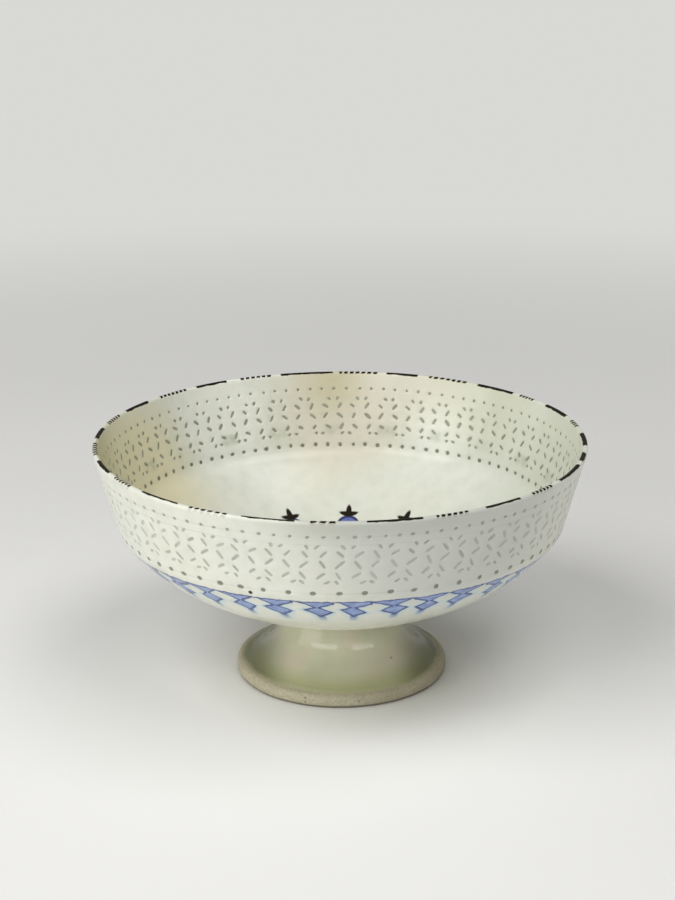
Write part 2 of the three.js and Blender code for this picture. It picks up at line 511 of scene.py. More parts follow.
degrees = (FIRST_DEGREES + corners[:, 0] * 360 / COLUMNS) % 360
dash_starts, dash_ends, run_starts, run_ends, ticks = STROKES.T
ticks_before = np.cumsum(ticks) - ticks
ticks_at_ends = np.stack([ticks_before + 0.5 - TICK_HALF, ticks_before + ticks - 0.5 + TICK_HALF], axis=1)
set_attributes(
    bowl, in_dash=reach(degrees, dash_starts, dash_ends), in_run=reach(degrees, run_starts, run_ends),
    tick_turns=np.interp(degrees, STROKES[:, 2:4].ravel(), ticks_at_ends.ravel()))
print("lip:", len(STROKES), "dashes and", int(ticks.sum()), "ticks")

# %% [markdown]
# ## Glaze in the cuts
# The glaze that fills a cut sinks a little as it cools, so each pane is thinnest in its middle.
# It could be one transparent sheet inside the wall, but then the cuts would have no faces of
# their own. Each pane is a plug that goes through the wall, a hair wider than its cut, with its
# two faces drawn in to a point. With several hundred of them, each has only a few dozen faces.

# %% Build the panes
PANE_OVERLAP, PANE_SINK, PANE_DIP = 0.06, 0.13, 0.24


def pane_faces(row):
    """Front fan, sides and back fan of every pane in a row."""
    groups = []
    for picked, border in cells_by_width(row):
        front, back = (loop(outline(row, picked, border, PANE_OVERLAP, side), side, PANE_SINK)
                       for side in (OUTSIDE, INSIDE))
        middle = np.stack([row["column"][picked], row["down"][picked]], axis=1)[:, None]
        middle = np.repeat(middle, front.shape[1] - 1, axis=1)
        for face, side, order in ((front, OUTSIDE, (1, 0, 2)), (back, INSIDE, (0, 1, 2))):
            depth = np.broadcast_to([side, PANE_DIP], middle.shape)
            parts = face[:, :-1], face[:, 1:], np.concatenate([middle, depth], axis=2)
            groups.append(np.stack([parts[i] for i in order], axis=2).reshape(-1, 3, 4))
        sides = np.stack([front[:, :-1], front[:, 1:], back[:, 1:], back[:, :-1]], axis=2)
        groups.append(sides.reshape(-1, 4, 4))
    return groups


pane_corners, pane_polygons = weld([group for row in cells for group in pane_faces(row)])
panes = make_piece("glaze_panes", place(pane_corners), pane_polygons, sharp_angle=50)
set_attributes(panes, down=pane_corners[:, 1], inside=pane_corners[:, 2])
print("glaze panes:", len(pane_polygons), "faces")

# %% [markdown]
# ## The pedestal
# The pedestal was thrown by itself, upside down, and trimmed. Its glaze ran down the flare and
# stopped in a soft roll just inside the edge, which the potter had wiped so that it wouldn't
# stick to the kiln shelf. The profile is turned round the axis. The roll then lifts its points a
# little, and the trimming rings and the uneven wiping of the edge move them a little in or out.

# %% Build the pedestal
FOOT_EDGE_HEIGHT, FOOT_EDGE_ROUNDING, FLANGE_RADIUS = 5.4, 1.4, 41
FLARE_HANDLES = (32.1, 7.3), (26.8, 14)
NECK_RADIUS, NECK_BORE_RADIUS, STANDING_RING_WIDTH = 22.4, 17.6, 4.4
HOLLOW_HANDLES, HOLLOW_EDGE = ((20.7, 15.4), (25.9, 10.5)), (36.6, 1.6)
FOOT_COLUMNS = 360

ring_outer = FOOT_RADIUS - FOOT_EDGE_ROUNDING
foot_curve = join(
    bezier((NECK_RADIUS, NECK_TOP), *FLARE_HANDLES[::-1], (FLANGE_RADIUS, FOOT_EDGE_HEIGHT), steps=46),
    bezier((FLANGE_RADIUS, FOOT_EDGE_HEIGHT), (FOOT_RADIUS, FOOT_EDGE_HEIGHT),
           (FOOT_RADIUS, FOOT_EDGE_HEIGHT / 2), steps=12),
    bezier((FOOT_RADIUS, FOOT_EDGE_HEIGHT / 2), (FOOT_RADIUS, 0), (ring_outer, 0), steps=10),
    bezier((ring_outer, 0), (ring_outer - STANDING_RING_WIDTH, 0), steps=5),
    bezier((ring_outer - STANDING_RING_WIDTH, 0), HOLLOW_EDGE, steps=4),
    bezier(HOLLOW_EDGE, *HOLLOW_HANDLES[::-1], (NECK_BORE_RADIUS, NECK_TOP), steps=26),
    bezier((NECK_BORE_RADIUS, NECK_TOP), (NECK_RADIUS, NECK_TOP), steps=5),
)[:-1]


def turned(curve, count):
    """Every profile point at every angle, as arrays of radius, height and angle."""
    angle = np.arange(count) * 2 * np.pi / count
    radius, height = (np.repeat(part[:, None], count, axis=1) for part in curve.T)
    return radius, height, np.broadcast_to(angle, radius.shape)


def closed_grid(stations, count):
    """Four-sided faces of a grid that closes both round the axis and along its profile."""
    numbers = np.arange(stations * count).reshape(stations, count)
    below, right = np.roll(numbers, -1, axis=0), np.roll(numbers, -1, axis=1)
    corner = np.roll(below, -1, axis=1)
    return np.stack([numbers, below, corner, right], axis=-1).reshape(-1, 4).tolist()


ROLL_RADIUS, ROLL_HEIGHT, ROLL_WIDTH, ROLL_UP = 39.6, 0.25, 1.3, 1.2
TRIM_DEPTH, TRIM_WAVES, TRIM_CLEAR, WIPED = 0.01, 2.6, 1, 0.16
radius, height, angle = turned(foot_curve, FOOT_COLUMNS)
roll_middle = ROLL_RADIUS + wave(angle, (0.35, 3, 0.4), (0.2, 8, 2.1), (0.12, 17, 1.3))
on_top = height > FOOT_EDGE_HEIGHT - ROLL_UP
roll = ROLL_HEIGHT * np.exp(-(((radius - roll_middle) / ROLL_WIDTH) ** 2)) * on_top
on_flare = (height > FOOT_EDGE_HEIGHT + TRIM_CLEAR) * (radius > NECK_BORE_RADIUS + TRIM_CLEAR)
rings = TRIM_DEPTH * np.sin(height * TRIM_WAVES) * on_flare
to_edge = np.clip((radius - FLANGE_RADIUS) / (FOOT_RADIUS - FLANGE_RADIUS), 0, 1)
wiped = WIPED + wave(angle, (0.07, 4, 0.9), (0.05, 11, 0.2), (0.03, 29, 2.0), (0.02, 47, 1.0))
radius = radius - rings - to_edge * wiped
height = height + roll
foot_points = np.stack([radius * np.sin(angle), -radius * np.cos(angle), height], axis=-1)
foot = make_piece("glazed_pedestal", foot_points.reshape(-1, 3), closed_grid(len(foot_curve), FOOT_COLUMNS))
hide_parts("foot_body")
print("pedestal:", len(foot.data.polygons), "faces")

# %% [markdown]
# ## Materials
# A colour is written as the sRGB hex code that it shows on the finished pot. One small function
# turns it to the linear colour that Blender works in, and another adds a node. Each material
# comes with its own `add`, that function tied to its node tree, so a call names only the node's
# kind, its operation and its inputs. Those of a MapRange are a value, the two ends of the range
# that it comes from, and the two ends of the range that it goes to.

# %% Colours and nodes
SOFT = {"interpolation_type": "SMOOTHSTEP"}


def colour(code):
    """An sRGB hex code as linear colour: each channel is a line near black and a power above it."""
    channel = np.array([int(code[i:i + 2], 16) / 255 for i in (0, 2, 4)])
    linear = np.where(channel <= 0.04045, channel / 12.92, ((channel + 0.055) / 1.055) ** 2.4)
    return *(float(value) for value in linear), 1.0


def add_node(tree, kind, *inputs, **named):
    """Adds a node. Its kind may be followed by its operation. Its inputs are numbers, colours or other
    nodes, in the order of its sockets. A name with a capital letter is a socket's too, and any other name
    is a setting's."""
    kind, *operation = kind.split()
    node = tree.nodes.new("ShaderNode" + kind)
    if operation:
        node.operation = operation[0]
    values = dict(enumerate(inputs))
    for name, value in named.items():
        if name[0].isupper():
            values[name] = value
        else:
            setattr(node, name, value)
    for socket, value in values.items():
        if isinstance(value, bpy.types.Node):
            value = value.outputs[0]
        if isinstance(value, bpy.types.NodeSocket):
            tree.links.new(value, node.inputs[socket])
        else:
            node.inputs[socket].default_value = value
    return node


def new_material(name, **shader_values):
    """A material with one Principled shader, whose plain values are set on its sockets, and its `add`."""
    material = bpy.data.materials.new(name)
    material.use_nodes = True
    shader = material.node_tree.nodes["Principled BSDF"]
    for socket, value in shader_values.items():
        shader.inputs[socket.replace("_", " ")].default_value = value
    return material, partial(add_node, material.node_tree)


def give(piece, material, **finished):
    """Links the finished nodes to the shader's sockets, and gives the piece this material only."""
    tree = material.node_tree
    for socket, node in finished.items():
        tree.links.new(node.outputs[0], tree.nodes["Principled BSDF"].inputs[socket.replace("_", " ")])
    piece.data.materials.clear()
    piece.data.materials.append(material)
    print(f"{piece.name}: {material.name}, {len(tree.nodes)} nodes")


print("white as linear colour:", colour("ffffff"))

# %% [markdown]
# Painting a pot does a few things again and again. It lays one colour over another, keeps to where
# several things hold at once, and measures how far off a line the brush is. Each is a function
# here, and works on the material being made, through its `add` and the place being shaded, `here`.

# %% What painting does again and again
def set_stops(ramp, *stops):
    """Gives a colour ramp its stops: a position, and a grey level or an sRGB hex code."""
    elements = ramp.color_ramp.elements
    while len(elements) < len(stops):
        elements.new(1.0)
    for element, (position, shade) in zip(elements, stops):
        element.position = position
        element.color = colour(shade) if isinstance(shade, str) else (shade, shade, shade, 1.0)
    return ramp


def lay_over(base, *coats):
    """Lays coats over a colour, one after another: how much of each, and its hex code or its node."""
    for amount, tint in coats:
        base = add("MixRGB", amount, base, colour(tint) if isinstance(tint, str) else tint)
    return base


def product(first, *others):
    """Several amounts multiplied, so that the result is full only where all of them are."""
    for other in others:
        first = add("Math MULTIPLY", first, other)
    return first


def off(value, middle):
    """How far a value is from a middle, to either side: the size of their difference."""
    return add("Math ABSOLUTE", add("Math SUBTRACT", value, middle))


def carried(*names):
    """The numbers that the piece's points carry under these names."""
    return [add("Attribute", attribute_name=name).outputs["Fac"] for name in names]


def from_the_axis():
    """Millimetres from the bowl's axis: the length of the place, once its height is left out."""
    flat = add("VectorMath MULTIPLY", here, (1 / MM, 1 / MM, 0.0))
    return add("VectorMath LENGTH", flat).outputs["Value"]


print("the construction model's own materials:", [material.name for material in bpy.data.materials])

# %% [markdown]
# ## Clear glaze over white fritware
# Fritware is ground quartz bound with a little white clay and glass. Under its clear alkaline
# glaze it looks like milk with a touch of ivory, and greener where the glaze is thick. The
# surface is smooth and bright, with the slow unevenness that molten glass leaves, so roughness
# is low and a weak bump of a few millimetres' scale bends the reflections. A function turns the
# bearing round the axis into repeats of a pattern, for what goes round the bowl.

# %% The bare white of the bowl
white_glaze, add = new_material("clear_glaze_over_white_fritware", IOR=1.5)
here = add("TexCoord").outputs["Object"]
x_here, y_here = add("SeparateXYZ", here).outputs[:2]
bearing = add("Math ARCTAN2", y_here, x_here)
down, inside, sunk, over_lip = carried("down", "inside", "sunk", "over_lip")
outside = add("Math SUBTRACT", 1.0, inside)


def turns(count, angle):
    """How many repeats of a pattern lie between its start and here: a half is the middle of the first one."""
    share = count / (2 * math.pi)
    return add("Math MULTIPLY_ADD", bearing, share, 0.5 - share * math.radians(angle - 90))


CLOUD_MM, MOTTLE_MM = 45, 6
clouds = add("TexNoise", here, Scale=1 / (CLOUD_MM * MM), Detail=3.0)
mottle = add("TexNoise", here, Scale=1 / (MOTTLE_MM * MM), Detail=4.0)
white = set_stops(add("ValToRGB", clouds), (0.3, "dcdfd3"), (0.5, "e1e3d7"), (0.72, "e5e4d5"))
white = lay_over(white, (add("MapRange", mottle, 0.42, 0.75, 0.0, 0.5), "cfd2c2"))
print("white glaze: clouds of", CLOUD_MM, "mm and mottling of", MOTTLE_MM, "mm")

# %% [markdown]
# Three hundred years of use have stained the glaze olive in places, most at the left and at the
# back under the rim, and left it clean in others. One pale patch on the back left of the inside is
# painted light, which brightens a part of the wall that lies in shade, and a grey patch darkens the
# outside at the front right. Each stain or patch is a soft ball of colour round a point of the
# wall, and the mottling makes its edge ragged. Inside the bowl a grey-green halo lies round each
# group of the lower slits.

# %% Stains, clean patches, painted light and halos
PATCH_RAGGED, HALO_DOWN = 12 * MM, 25.6
outside_top = product(outside, add("MapRange", down, 3.0, 13.0, 1.0, 0.0, **SOFT))
STAINS_AND_PAINTED_LIGHT = [
    # middle, and distances where it starts to fade and where it ends, in metres; share, side, colour
    ((-0.098, -0.01, 0.078), (0.022, 0.06), 0.8, inside, "bfb57c"),
    ((-0.085, 0.03, 0.072), (0.02, 0.055), 0.8, inside, "e8deb4"),
    # painted light: a pale patch on the back left of the inside
    ((-0.055, 0.08, 0.084), (0.018, 0.04), 0.8, inside, "f1f2e6"),
    ((0.05, 0.083, 0.078), (0.01, 0.028), 0.6, inside, "f1f1e4"),
    ((-0.004, 0.098, 0.095), (0.006, 0.03), 0.85, inside, "b5b084"),
    ((0.0, 0.098, 0.085), (0.02, 0.055), 0.5, inside, "d2c6ac"),
    ((0.07, 0.075, 0.097), (0.015, 0.045), 0.5, inside, "c6c5a6"),
    ((0.043, 0.09, 0.099), (0.008, 0.03), 0.5, inside, "c9c4a8"),
    ((0.095, 0.0, 0.085), (0.03, 0.08), 0.5, inside, "c2c8b0"),
    ((0.02, -0.1, 0.1), (0.015, 0.06), 0.8, outside_top, "a8a892"),
    # a grey patch that darkens the outside at the front right
    ((0.04, -0.09, 0.1), (0.035, 0.075), 0.75, outside, "c6c9c3"),
]
for middle, (fades_from, ends), share, on_side, code in STAINS_AND_PAINTED_LIGHT:
    away = add("VectorMath DISTANCE", here, middle).outputs["Value"]
    away = add("Math MULTIPLY_ADD", mottle, PATCH_RAGGED, away)
    stain_and_painted_light = add("MapRange", away, fades_from, ends, share, 0.0, **SOFT)
    white = lay_over(white, (product(stain_and_painted_light, on_side), code))

halo_wave = add("Math PINGPONG", turns(DIAMONDS, FIRST_DEGREES), 1.0)
halo = add("MapRange", halo_wave, 0.5, 0.2, 0.0, 1.0, **SOFT)
halo_rows = add("MapRange", off(down, HALO_DOWN), 0.8, 3.6, 1.0, 0.0, **SOFT)
halo_share = add("MapRange", mottle, 0.4, 0.65, 0.1, 0.5)
white = lay_over(white, (product(halo, halo_rows, halo_share, inside), "a3a88f"))
print("white glaze:", len(STAINS_AND_PAINTED_LIGHT), "stains and patches, and the halos")

# %% [markdown]
# ## Glaze lying in cuts and lines
# Glaze is thicker in every hollow, and thick glaze is greener. The skin carries how deep each
# point is sunk, so the ring round each cut takes a grey-green tint by itself. The finer guide
# lines through the dots and above the slits are drawn in the same colour.

# %% Tint hollows and guide lines
GUIDE_LINES, GUIDE_SPAN, GUIDE_HALF = (TOP_DOTS[1], 10.8, LOW_DOTS[1]), 40, 0.35
line_stops = [(0.0, 0.0)]
for guide in GUIDE_LINES:
    line_edges = (guide - GUIDE_HALF, 0.0), (guide, 1.0), (guide + GUIDE_HALF, 0.0)
    line_stops += [(at / GUIDE_SPAN, level) for at, level in line_edges]
guide_lines = set_stops(add("ValToRGB", product(down, 1 / GUIDE_SPAN)), *line_stops)
faint = add("MapRange", clouds, 0.35, 0.65, 0.08, 0.38)
pooled = add("MapRange", sunk, 0.0, CUT_SINK, 0.0, 0.4)
white = lay_over(white, (pooled, "a9ad99"), (product(guide_lines, faint, outside), "a9ae9c"))
print("white glaze: hollows and", len(GUIDE_LINES), "guide lines")

# %% [markdown]
# ## Blue pendants
# Cobalt blue was brushed on the raw clay before glazing, so it lies under the glaze and its edges
# are soft. Thirty-seven pendants hang from a border line below the shoulder. Each is drawn from
# one outline, its half width at each distance below the border: wide at the top, a narrow waist,
# two corners, and a point that ran a little in the kiln. The fraction of a turn within one
# pendant says how far the point being shaded is from the pendant's middle. Each stretch of the
# outline slants, so its slant turns a distance across into the distance square to the line. Two
# random numbers for each pendant make it lean a little and put one corner lower than the other.

# %% Draw the pendants
PENDANTS, PENDANT_ANGLE, PENDANT_PITCH_MM, PENDANT_LENGTH = 37, 3.3, 14.6, 18.0
HALF_WIDTHS = (0.0, 0.475), (4.4, 0.07), (5.0, 0.07), (7.8, 0.33), (12.3, 0.0), (18.0, 0.0)
SLANTS = (0.0, 0.6), (5.0, 0.62)
LEAN, CROOKED_MM, BRUSH_MM, HAND_MM = 0.2, 6.0, 3, 18

brush_noise = add("TexNoise", here, Scale=1 / (BRUSH_MM * MM), Detail=2.0)
hand_noise = add("TexNoise", here, Scale=1 / (HAND_MM * MM), Detail=1.0)

hand_shift = add("MapRange", hand_noise, 0.3, 0.7, -0.07, 0.07)
pendant_turn = add("Math ADD", turns(PENDANTS, PENDANT_ANGLE), hand_shift)
chances = add("TexWhiteNoise", W=add("Math FLOOR", pendant_turn), noise_dimensions="1D").outputs["Color"]
lean_chance, crooked_chance = add("SeparateXYZ", chances).outputs[:2]
ragged = add("MapRange", brush_noise, 0.3, 0.7, -0.3, 0.3)
below = add("Math ADD", add("Math SUBTRACT", down, SHOULDER_DROP), ragged)
leaning = add("MapRange", lean_chance, 0.0, 1.0, -LEAN / PENDANT_LENGTH, LEAN / PENDANT_LENGTH)
to_right = add("Math MULTIPLY_ADD", below, leaning, add("Math FRACT", pendant_turn))
to_right = add("Math SUBTRACT", to_right, 0.5)
crooked = add("MapRange", crooked_chance, 0.0, 1.0, -CROOKED_MM, CROOKED_MM)
crooked_below = add("Math MULTIPLY_ADD", to_right, crooked, below)
off_middle = add("Math ABSOLUTE", to_right)
below_share = product(crooked_below, 1 / PENDANT_LENGTH)
half_width, slant = (
    set_stops(add("ValToRGB", below_share), *((at / PENDANT_LENGTH, value) for at, value in stations))
    for stations in (HALF_WIDTHS, SLANTS))
slant.color_ramp.interpolation = "CONSTANT"
past_edge = product(add("Math SUBTRACT", off_middle, half_width), PENDANT_PITCH_MM, slant)
print("pendants:", PENDANTS, "of", PENDANT_PITCH_MM, "mm")

# %% [markdown]
# The brush left a dark line round each pendant and a paler wash within it. The glaze carried
# some of the blue down the slope, as a pale bleeding round the lower part and a drip at the point.

# %% Lines, wash, bleeding and drips of the blue
TIP_DOWN, DRIP_END = 12.0, 18.5
from_border = add("MapRange", below, 0.0, 0.25, 0.0, 1.0)
above_tip = add("MapRange", below, TIP_DOWN + 0.8, TIP_DOWN + 1.6, 1.0, 0.0)
in_pendant = product(from_border, above_tip, outside)
edge_line = product(add("MapRange", add("Math ABSOLUTE", past_edge), 0.24, 0.7, 1.0, 0.0), in_pendant)
border_line = product(add("MapRange", add("Math ABSOLUTE", below), 0.15, 0.55, 1.0, 0.0), outside)
blue_line = add("Math MAXIMUM", edge_line, border_line)
blue_wash = product(add("MapRange", past_edge, 0.2, -0.3, 0.0, 0.96), in_pendant)

bleed = add("MapRange", past_edge, 2.8, 0.3, 0.0, 0.9)
bleed_from_top = add("MapRange", below, 0.0, 6.0, 0.0, 1.0)
bleed_to_end = add("MapRange", below, TIP_DOWN + 1.0, DRIP_END, 1.0, 0.0)
bleed = product(bleed, bleed_from_top, bleed_to_end, outside)

drip = add("MapRange", off_middle, 0.04, 0.15, 1.0, 0.0, **SOFT)
drip_start = add("MapRange", below, TIP_DOWN - 3.0, TIP_DOWN - 0.5, 0.0, 1.0)
drip_fade = add("MapRange", below, TIP_DOWN, DRIP_END, 0.95, 0.0)
drip = product(drip, drip_start, drip_fade, outside)

wash_colour = set_stops(add("ValToRGB", brush_noise), (0.35, "7285bb"), (0.65, "93a6d3"))
line_colour = set_stops(add("ValToRGB", hand_noise), (0.35, "2f4379"), (0.65, "41568f"))
painted = lay_over(
    white, (bleed, "b9d2dc"), (drip, "4a659f"), (blue_wash, wash_colour), (blue_line, line_colour))
print("pendants: line, wash, bleeding and drips")

# %% [markdown]
# ## Dark dashes on the lip
# Manganese and iron, ground and brushed on the lip, fire to a brown-black that turns brown where
# it is thin. The brush was wide enough to cover the lip. Left of the middle it was held further
# in, so there the outer edge of the lip stays white. A tick is a touch of the brush's tip: it
# darkens the top of the lip, and a little thin pigment ran down the outside below it.

# %% The strokes' shapes, and their colour
STROKE_INSIDE, STROKE_OUTSIDE, THIN_MIDDLE, THIN_BY = -1.35, 1.1, -0.05, 0.35
TICK_PITCH_MM, TICK_SLANT, TICK_INSIDE, TICK_OUTSIDE, RUN_OUTSIDE = 2.5, 0.12, -1.3, 1.2, 2.2
in_dash, in_run, tick_turns = carried("in_dash", "in_run", "tick_turns")
fringe = add("MapRange", brush_noise, 0.3, 0.7, -0.2, 0.2)
thinner = add("MapRange", off(x_here, THIN_MIDDLE), 0.025, 0.05, THIN_BY, 0.0, **SOFT)


def stroke(inside_ends, inner_edge, outer_edge, soft=(-0.1, 0.25), full=1.0):
    """How fully a stroke across the lip covers, from how far a point is inside its ends and ragged edges."""
    from_inner = add("Math SUBTRACT", over_lip, inner_edge)
    from_outer = add("Math SUBTRACT", outer_edge, over_lip)
    inside_edges = add("Math ADD", add("Math MINIMUM", from_inner, from_outer), fringe)
    return add("MapRange", add("Math MINIMUM", inside_ends, inside_edges), *soft, 0.0, full)


dash = stroke(in_dash, STROKE_INSIDE, add("Math SUBTRACT", STROKE_OUTSIDE, thinner))
tick_shift = add("MapRange", hand_noise, 0.3, 0.7, -0.12, 0.12)
tick_turn = add("Math MULTIPLY_ADD", over_lip, TICK_SLANT, add("Math ADD", tick_turns, tick_shift))
tick_end = product(add("Math SUBTRACT", TICK_HALF, off(add("Math FRACT", tick_turn), 0.5)), TICK_PITCH_MM)
tick_end = add("Math MINIMUM", tick_end, in_run)
tick = stroke(tick_end, TICK_INSIDE, add("Math SUBTRACT", TICK_OUTSIDE, thinner))
run_down = stroke(tick_end, TICK_INSIDE, RUN_OUTSIDE, (-0.3, 0.5), 0.3)
strokes = add("Math MAXIMUM", dash, tick)
manganese = set_stops(add("ValToRGB", strokes), (0.3, "6b5a3e"), (0.7, "29241a"), (1.0, "1b1810"))
stroke_cover = add("MapRange", strokes, 0.0, 0.5, 0.0, 1.0)
painted = lay_over(painted, (run_down, "857a66"), (stroke_cover, manganese))
print("lip: dashes, and runs of ticks")

# %% [markdown]
# ## The painted floor
# The photograph looks too flatly into the bowl to show the middle of its floor. It shows three
# dark trefoils and one blue dome, all on a ring about 58 mm from the middle and a fourteenth of a
# turn apart, so the ring of fourteen is drawn whole. A trefoil is two ellipses, one across for
# its bent arms and one upright for its leaf, which starts above the dome.

# %% Draw the domes and trefoils
MOTIFS, MOTIF_ANGLE, MOTIF_RADIUS = 14, 176.4, 58.0
DOME_RADIUS, DOME_MIDDLE, DOME_FOOT, DOME_EDGE = 5.4, 52.2, 50.0, 0.92
ARMS, ARMS_BEND, LEAF, LEAF_FOOT = (58.5, 4.2, 1.35), -0.05, (58.9, 1.3, 4.3), 57.4
FLOOR_END = 66.0
from_axis = from_the_axis()
sideways = add("Math SUBTRACT", add("Math FRACT", turns(MOTIFS, MOTIF_ANGLE)), 0.5)
sideways = product(sideways, 2 * math.pi * MOTIF_RADIUS / MOTIFS)


def ellipse(out, middle, half_side, half_out):
    """1 on the edge of an ellipse at a radius from the axis: the length of its two scaled distances."""
    joined = add("CombineXYZ", sideways, add("Math SUBTRACT", out, middle))
    scaled = add("VectorMath MULTIPLY", joined, (1 / half_side, 1 / half_out, 0.0))
    return add("VectorMath LENGTH", scaled).outputs["Value"]


bent = add("Math MULTIPLY_ADD", product(sideways, sideways), ARMS_BEND, from_axis)
under_leaf = add("MapRange", from_axis, LEAF_FOOT, LEAF_FOOT + 1.0, 2.0, 0.0)
leaf = add("Math MAXIMUM", ellipse(from_axis, *LEAF), under_leaf)
trefoil = add("MapRange", add("Math MINIMUM", leaf, ellipse(bent, *ARMS)), 0.85, 1.1, 1.0, 0.0)
on_floor = product(add("MapRange", from_axis, FLOOR_END, FLOOR_END + 0.5, 1.0, 0.0), inside)
trefoil = product(trefoil, on_floor)
dome = ellipse(from_axis, DOME_MIDDLE, DOME_RADIUS, DOME_RADIUS)
outer_half = add("MapRange", from_axis, DOME_FOOT, DOME_FOOT + 0.4, 0.0, 1.0)
dome_wash = product(add("MapRange", dome, 0.9, 1.02, 0.95, 0.0), outer_half, on_floor)
dome_line = product(add("MapRange", off(dome, DOME_EDGE), 0.08, 0.15, 1.0, 0.0), outer_half)
print("floor: ring of", MOTIFS)

# %% [markdown]
# Of the painted floor only the ring of motifs can be seen in the photograph. The rings and the
# petalled rosette inside it are guessed, and are kept plain. The brush leaves a wash uneven, so
# the blue of the domes changes with the same small noise as that of the pendants.

# %% Draw the rings and the rosette, and lay the floor's colours
RING_RADII, RING_HALF = (50.0, 48.2, 30.5), 0.35
ROSETTE_RADIUS, ROSETTE_SWING, ROSETTE_PETALS, ROSETTE_EYE = 18.0, 4.5, 8, 6.4
petal_wave = add("Math COSINE", product(bearing, ROSETTE_PETALS))
petal_edge = add("Math MULTIPLY_ADD", petal_wave, ROSETTE_SWING, ROSETTE_RADIUS)
past_petal = add("Math SUBTRACT", from_axis, petal_edge)
floor_lines = add("MapRange", add("Math ABSOLUTE", past_petal), 0.35, 0.9, 1.0, 0.0)
floor_lines = add("Math MAXIMUM", floor_lines, dome_line)
for ring_radius in RING_RADII:
    ring_line = add("MapRange", off(from_axis, ring_radius), RING_HALF, 2 * RING_HALF, 1.0, 0.0)
    floor_lines = add("Math MAXIMUM", floor_lines, ring_line)
petal_wash = add("MapRange", past_petal, -0.6, 0.0, 0.8, 0.0)
past_eye = add("MapRange", from_axis, ROSETTE_EYE, ROSETTE_EYE + 0.8, 0.0, 1.0)
floor_wash = add("Math MAXIMUM", dome_wash, product(petal_wash, past_eye, inside))
deep_wash = set_stops(add("ValToRGB", brush_noise), (0.38, "4456a0"), (0.62, "7080bd"))
painted = lay_over(
    painted, (floor_wash, deep_wash), (product(floor_lines, on_floor), "2f3768"), (trefoil, "211c13"))
print("floor:", len(RING_RADII), "rings and a rosette of", ROSETTE_PETALS)

# %% [markdown]
# ## One speck, and the glaze's surface
# A grain of iron in the clay has come through the glaze as a black speck on the border line. The
# colours then go to the shader, with two bumps: a slow one from the molten glaze, and a fine one
# of pinholes. Each bump's distance is the real height of the unevenness. The dark manganese
# dulls the glaze over it, so the dashes and the trefoils are rougher and reflect less.

# %% The speck, the bump, and the finished white glaze
SPECK_ANGLE, SPECK_RADIUS, SPECK_HEIGHT, SPECK_SIZE = math.radians(-21.3), 91.4, 67.3, 0.95
speck_place = np.array([
    SPECK_RADIUS * math.sin(SPECK_ANGLE), -SPECK_RADIUS * math.cos(SPECK_ANGLE), SPECK_HEIGHT]) * MM
from_speck = add("VectorMath DISTANCE", here, speck_place).outputs["Value"]
speck = add("MapRange", from_speck, SPECK_SIZE * MM * 0.7, SPECK_SIZE * MM, 1.0, 0.0)
painted = lay_over(painted, (speck, "1f1c1a"))

WAVE_MM, WAVE_HEIGHT, PIN_MM, PIN_HEIGHT = 9, 0.03, 0.9, 0.006
waves = add("TexNoise", here, Scale=1 / (WAVE_MM * MM), Detail=1.0)
wave_bump = add("Bump", Height=waves, Distance=WAVE_HEIGHT * MM, Strength=1.0)
pins = add("TexNoise", here, Scale=1 / (PIN_MM * MM), Detail=2.0)
bump = add("Bump", Height=pins, Distance=PIN_HEIGHT * MM, Strength=1.0, Normal=wave_bump)
dull = add("Math MAXIMUM", stroke_cover, trefoil)
roughness = add("MapRange", dull, 0.0, 1.0, 0.2, 0.55)
shine = add("MapRange", dull, 0.0, 1.0, 0.3, 0.05)
give(bowl, white_glaze, Base_Color=painted, Roughness=roughness, Specular_IOR_Level=shine, Normal=bump)

# %% [markdown]
# ## The panes' glaze
# The same glaze, with nothing white behind it, is a greenish glass full of tiny bubbles. It lets
# about a fifth of the light through and scatters the rest, so each cut looks like pale grey-green
# jelly. Towards the left and the right of the outside, as the camera sees them, a painted sheen
# makes the panes paler, so that the cuts hardly show there. The panes are darker on the inside of
# the wall, and the dots are darker than the slits.

# %% Glass of the panes
PANE_CLOUD_MM, SHEEN_FROM, SHEEN_TO, INSIDE_DARKER_SHARE = 7, 55 * MM, 85 * MM, 0.55
pane_glass, add = new_material(
    "clear_glaze_glass", Roughness=0.15, IOR=1.5, Specular_IOR_Level=0.3, Transmission_Weight=0.2)
here = add("TexCoord").outputs["Object"]
down, inside = carried("down", "inside")
pane_noise = add("TexNoise", here, Scale=1 / (PANE_CLOUD_MM * MM), Detail=2.0)
glass = set_stops(add("ValToRGB", pane_noise), (0.3, "b6b9ab"), (0.5, "c4c7b9"), (0.7, "d0d2c6"))
to_side = add("Math ABSOLUTE", add("SeparateXYZ", here))
# Painted sheen: the outside panes grow paler towards the left and the right as the camera sees them.
painted_sheen = add("MapRange", to_side, SHEEN_FROM, SHEEN_TO, 0.0, 0.75)
painted_sheen = product(painted_sheen, add("Math SUBTRACT", 1.0, inside))
top_dot = add("MapRange", down, TOP_DOTS[2], slit_rows[0][0], 0.45, 0.0)
low_dot = add("MapRange", down, slit_rows[-1][1], LOW_DOTS[0], 0.0, 0.75)
# The faces of the panes on the inside of the wall are darkened.
inside_darker = product(inside, INSIDE_DARKER_SHARE)
glass = lay_over(glass, (painted_sheen, "dcddd2"), (top_dot, "8b8e80"), (low_dot, "7d8070"), (inside_darker, "817d60"))
give(panes, pane_glass, Base_Color=glass)

# %% [markdown]
# ## The pedestal's glaze and its bare edge
# The pedestal's glaze is the same kind, coloured grey-green by a trace of iron, with an olive
# pool where it gathered on the flange. Past its roll the clay is bare: buff, dusty and rough,
# with small pits where grit came out. How far a point lies past the roll is worked out with the
# mesh, so that the colour and the shape change in the same place.

# %% Mark where the glaze ends
widest = np.argmax(foot_curve[:, 0])
along = length_along(foot_curve)
roll_along = np.interp(roll_middle[0], foot_curve[:widest, 0], along[:widest])
set_attributes(foot, past_roll=(along[:, None] - roll_along[None, :] - ROLL_WIDTH).ravel())
print("glaze ends", round(float(roll_along.mean()), 1), "mm down the flare")
